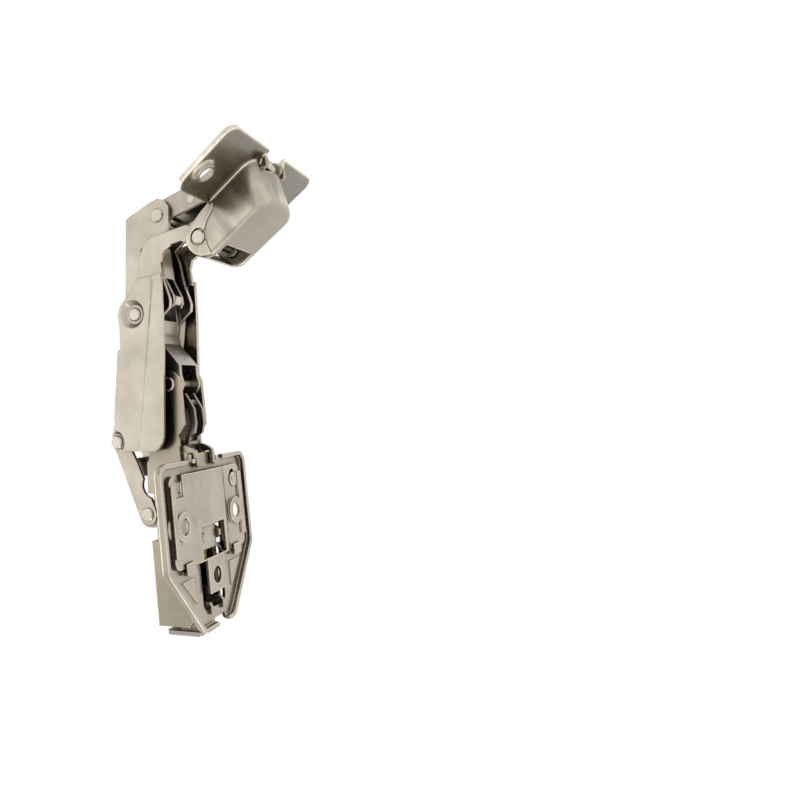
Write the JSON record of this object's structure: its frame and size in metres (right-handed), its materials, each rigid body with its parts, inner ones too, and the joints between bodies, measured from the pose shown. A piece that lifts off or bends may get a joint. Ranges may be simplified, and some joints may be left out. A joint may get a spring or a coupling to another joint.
{
  "type": "concealed cup hinge",
  "caption": "Wide-angle concealed cup hinge, folded fully open, with two-arm linkage, drilled-in cup, soft-close damper and clip-on cabinet plate with cam height adjustment.",
  "frame": {"origin": "midway between the two screw holes of the mounting plate, on the plane of the cabinet side that the plate is screwed to", "axes": "+Z away from the cabinet side, +X from the release lever towards the cup, +Y along the pivot pins and the line of the two screw holes"},
  "size_m": [0.1391, 0.0566, 0.0635],
  "materials": {
    "nickel_plating": "satin nickel plate on pressed steel",
    "dark_nickel": "nickel plate, slightly darker, on the hidden inner stampings",
    "pin_steel": "plain nickel-plated steel pins and rivets, ends bright",
    "screw_zinc": "bright zinc-plated adjusting screws",
    "damper_housing": "brass-toned moulded housing",
    "spring_steel": "oiled dark spring wire"
  },
  "bodies": {
    "lower_plate": {"lower_plate": "nickel_plating"},
    "mount_plate": {"upper_plate": "nickel_plating", "clip_carrier": "nickel_plating", "hook_rivets": "pin_steel", "lever_pin": "pin_steel", "lever_spring": "spring_steel"},
    "height_cam": {"height_cam": "screw_zinc"},
    "release_lever": {"release_lever": "dark_nickel"},
    "tilt_block": {"tilt_rivets": "pin_steel"},
    "base_arm": {"base_arm": "nickel_plating", "base_front_pin": "pin_steel", "base_rear_pin": "pin_steel", "damper_body": "damper_housing"},
    "depth_screw": {"depth_screw": "screw_zinc"},
    "side_screw": {"side_screw": "screw_zinc"},
    "damper_plunger": {"damper_plunger": "spring_steel"},
    "rear_link": {"rear_link": "nickel_plating", "link_pivot_rivets": "pin_steel"},
    "inner_arm": {"inner_arm_channel": "nickel_plating", "inner_arm_bracket": "dark_nickel", "arm_rivets": "pin_steel", "middle_pin": "pin_steel", "front_link_pin": "pin_steel", "closing_pin": "pin_steel", "closing_spring": "spring_steel"},
    "closing_lever": {"closing_lever": "dark_nickel", "roller_pin": "pin_steel"},
    "cam_roller": {"cam_roller": "pin_steel"},
    "outer_arm": {"outer_arm": "nickel_plating", "cup_pin": "pin_steel"},
    "cup": {"cup": "nickel_plating"},
    "cup_link": {"cup_link": "dark_nickel", "seat_pin": "pin_steel", "link_rivets": "pin_steel"}
  },
  "joints": [
    {"name": "height_adjust", "type": "slide", "parent": "lower_plate", "child": "mount_plate", "axis": [0, 1, 0], "range_m": [-0.0015, 0.0015]},
    {"name": "height_cam_turn", "type": "hinge", "parent": "mount_plate", "child": "height_cam", "pos_m": [0.0116, 0.0167, 0.0031], "axis": [0, 0, 1], "range_deg": [-61, 61]},
    {"name": "release_lever_press", "type": "hinge", "parent": "mount_plate", "child": "release_lever", "pos_m": [-0.0245, 0, 0.0096], "axis": [0, -1, 0], "range_deg": [0, 12], "stiffness_Nm_per_rad": 0.3, "springref_deg": -20.05},
    {"name": "depth_adjust", "type": "slide", "parent": "mount_plate", "child": "tilt_block", "axis": [1, 0, 0], "range_m": [-0.00165, 0.00165]},
    {"name": "side_adjust", "type": "hinge", "parent": "tilt_block", "child": "base_arm", "pos_m": [-0.0102, 0, 0.0075], "axis": [0, -1, 0], "range_deg": [-1.5, 1.5]},
    {"name": "depth_screw_turn", "type": "hinge", "parent": "base_arm", "child": "depth_screw", "pos_m": [-0.0175, 0, 0.0192], "axis": [0, 0, 1], "range_deg": [-51, 51]},
    {"name": "side_screw_turn", "type": "hinge", "parent": "base_arm", "child": "side_screw", "pos_m": [-0.025, 0, 0.0192], "axis": [0, 0, 1], "range_deg": [-178, 178]},
    {"name": "arm_fold", "type": "hinge", "parent": "base_arm", "child": "inner_arm", "pos_m": [0.0415, 0, 0.007], "axis": [0, -1, 0], "range_deg": [0, 118.6]},
    {"name": "rear_link_turn", "type": "hinge", "parent": "base_arm", "child": "rear_link", "pos_m": [0.0024, 0, 0.0187], "axis": [0, -1, 0], "range_deg": [0, 120.7]},
    {"name": "outer_arm_turn", "type": "hinge", "parent": "inner_arm", "child": "outer_arm", "pos_m": [0.0644, 0, 0.0161], "axis": [0, -1, 0], "range_deg": [-119.5, 0]},
    {"name": "cup_turn", "type": "hinge", "parent": "outer_arm", "child": "cup", "pos_m": [0.0829, 0, -0.0104], "axis": [0, -1, 0], "range_deg": [0, 149.2]},
    {"name": "cup_link_turn", "type": "hinge", "parent": "inner_arm", "child": "cup_link", "pos_m": [0.0941, 0, 0.0056], "axis": [0, -1, 0], "range_deg": [-101.8, 0]},
    {"name": "plunger_slide", "type": "slide", "parent": "base_arm", "child": "damper_plunger", "axis": [1, 0, 0], "range_m": [-0.0031, 0]},
    {"name": "closing_lever_give", "type": "hinge", "parent": "inner_arm", "child": "closing_lever", "pos_m": [0.084, 0, 0.0114], "axis": [0, 1, 0], "range_deg": [0, 6], "stiffness_Nm_per_rad": 1.5, "springref_deg": -17.19},
    {"name": "roller_spin", "type": "hinge", "parent": "closing_lever", "child": "cam_roller", "pos_m": [0.068, 0, 0.0064], "axis": [0, -1, 0], "continuous": true}
  ],
  "couplings": [
    {"joint": "height_cam_turn", "follows": "height_adjust", "rad_per_m": 698.13},
    {"joint": "depth_screw_turn", "follows": "depth_adjust", "rad_per_m": 516.8},
    {"joint": "side_screw_turn", "follows": "side_adjust", "ratio": 116.2},
    {"joint": "rear_link_turn", "follows": "arm_fold", "ratio": 1.0167},
    {"joint": "outer_arm_turn", "follows": "arm_fold", "ratio": -1.0067},
    {"joint": "cup_turn", "follows": "arm_fold", "ratio": 1.2571},
    {"joint": "cup_link_turn", "follows": "arm_fold", "ratio": -0.85722},
    {"joint": "plunger_slide", "follows": "arm_fold", "m_per_rad": -0.0014493}
  ]
}
